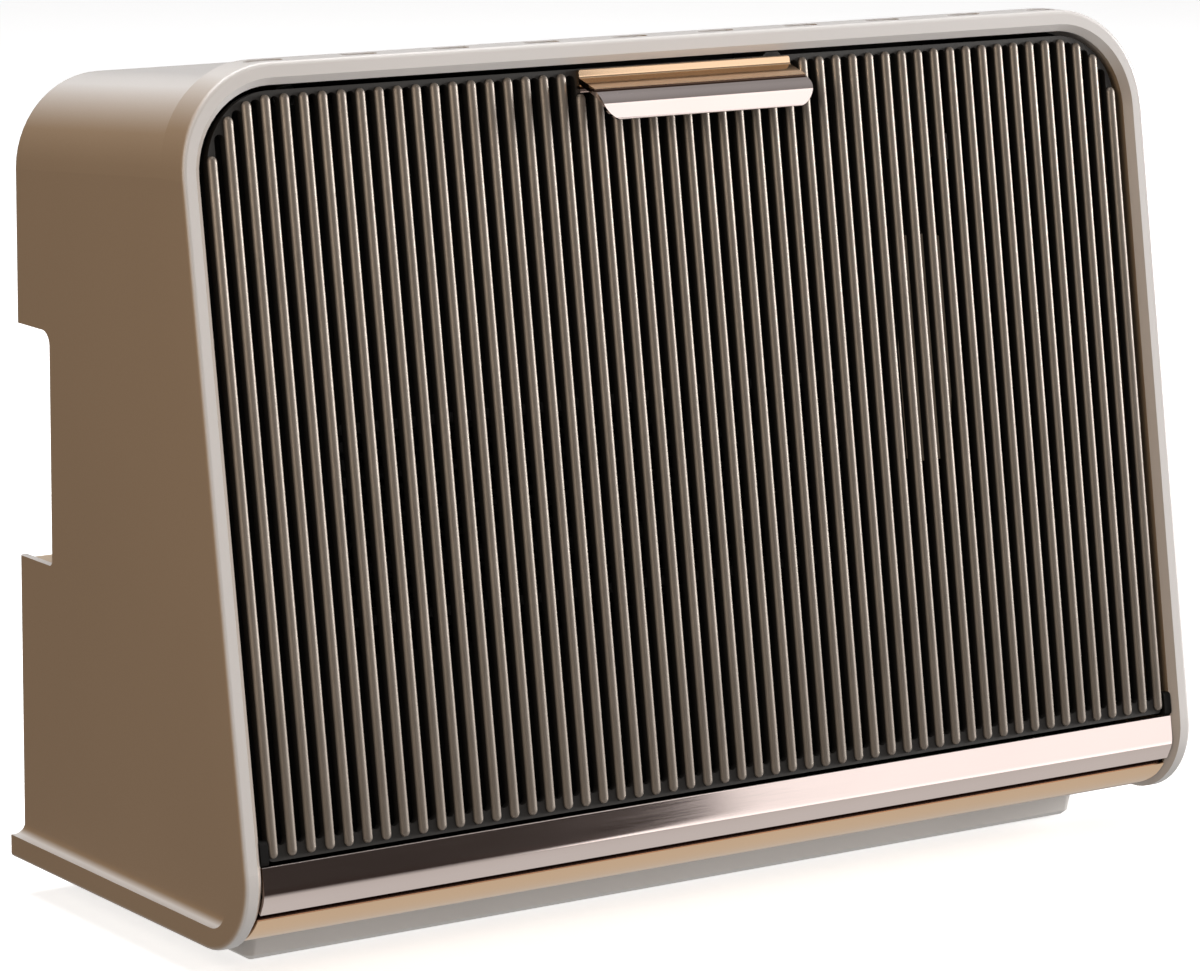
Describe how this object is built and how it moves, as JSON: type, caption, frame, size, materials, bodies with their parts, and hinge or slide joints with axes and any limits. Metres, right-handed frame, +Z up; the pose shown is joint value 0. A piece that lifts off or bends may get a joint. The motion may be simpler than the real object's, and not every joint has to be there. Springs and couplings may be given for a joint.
{
  "type": "ceramic fan heater",
  "caption": "Free-standing ceramic fan heater with a leaning reeded front grille that hinges open, a blower, rear hand grips, filter, switch and thermostat.",
  "frame": {"origin": "middle of the footprint at the floor under the feet", "axes": "+Z up, the grille faces -Y, +X to the right as seen from the front"},
  "size_m": [0.4, 0.16, 0.2992],
  "materials": {
    "casing": "satin champagne paint on moulded plastic",
    "plinth_plastic": "satin light warm grey",
    "grille_metal": "satin warm grey with a metallic sheen",
    "rose_gold": "polished rose gold",
    "black_steel": "matte heat-resistant black",
    "black_plastic": "fine texture",
    "steel": "zinc plated",
    "lamination": "stacked sheet",
    "copper": "enamelled winding",
    "ceramic": "dense dark ceramic",
    "aluminium": "mill finish",
    "black_aluminium": "black anodised",
    "brass": "bright",
    "board_green": "solder mask over glass laminate",
    "relay_black": "black moulded case",
    "nylon": "natural nylon",
    "filter_cloth": "open woven screen",
    "rubber": "matte"
  },
  "bodies": {
    "housing": {"board_capacitor": "aluminium", "board_relays": "relay_black", "board_standoffs": "nylon", "ceramic_stones": "ceramic", "control_board": "board_green", "cover_screws": "steel", "duct_end_left": "black_steel", "duct_end_right": "black_steel", "duct_feet": "black_steel", "end_bearing": "brass", "front_baffle": "black_steel", "grip_pocket_left": "casing", "grip_pocket_right": "casing", "heater_fins": "black_aluminium", "heater_frame": "black_plastic", "heater_terminals": "brass", "heater_tubes": "black_aluminium", "hinge_bracket_left": "black_steel", "hinge_bracket_right": "black_steel", "inlet_pins": "brass", "inner_guard": "black_steel", "inner_liner": "black_steel", "lower_trim": "rose_gold", "mains_inlet": "black_plastic", "motor_brackets": "steel", "motor_coil": "copper", "motor_core": "lamination", "motor_mounts": "steel", "outer_casing": "casing", "plinth": "plinth_plastic", "plinth_screws": "steel", "power_switch_body": "black_plastic", "rear_cover": "black_plastic", "rubber_feet": "rubber", "scroll_housing": "black_steel", "terminal_block": "nylon", "thermal_cutout": "steel", "thermal_fuse": "aluminium", "thermostat_body": "black_plastic", "tip_over_switch": "black_plastic", "vortex_tongue": "black_steel"},
    "grille": {"front_grille": "grille_metal", "grille_handle": "rose_gold", "grille_hinge_pins": "steel"},
    "blower": {"blower_wheel": "black_plastic", "motor_shaft": "steel", "wheel_end_pin": "steel", "motor_rotor": "lamination"},
    "thermostat": {"thermostat_knob": "black_plastic", "thermostat_spindle": "steel"},
    "switch_rocker": {"power_switch_rocker": "black_plastic"},
    "filter": {"filter_frame": "black_plastic", "filter_mesh": "filter_cloth"}
  },
  "joints": [
    {"name": "grille_hinge", "type": "hinge", "parent": "housing", "child": "grille", "pos_m": [0, -0.07434, 0.04728], "axis": [1, 0, 0], "range_deg": [0, 70]},
    {"name": "blower_spin", "type": "hinge", "parent": "housing", "child": "blower", "pos_m": [0, 0.02134, 0.1525], "axis": [1, 0, 0], "continuous": true},
    {"name": "thermostat_turn", "type": "hinge", "parent": "housing", "child": "thermostat", "pos_m": [0.136, 0.076, 0.2265], "axis": [0, -1, 0], "range_deg": [0, 270]},
    {"name": "switch_rock", "type": "hinge", "parent": "housing", "child": "switch_rocker", "pos_m": [0.136, 0.0728, 0.1005], "axis": [1, 0, 0], "range_deg": [0, 16]},
    {"name": "filter_pull", "type": "slide", "parent": "housing", "child": "filter", "axis": [0, 1, 0], "range_m": [0, 0.03]}
  ]
}
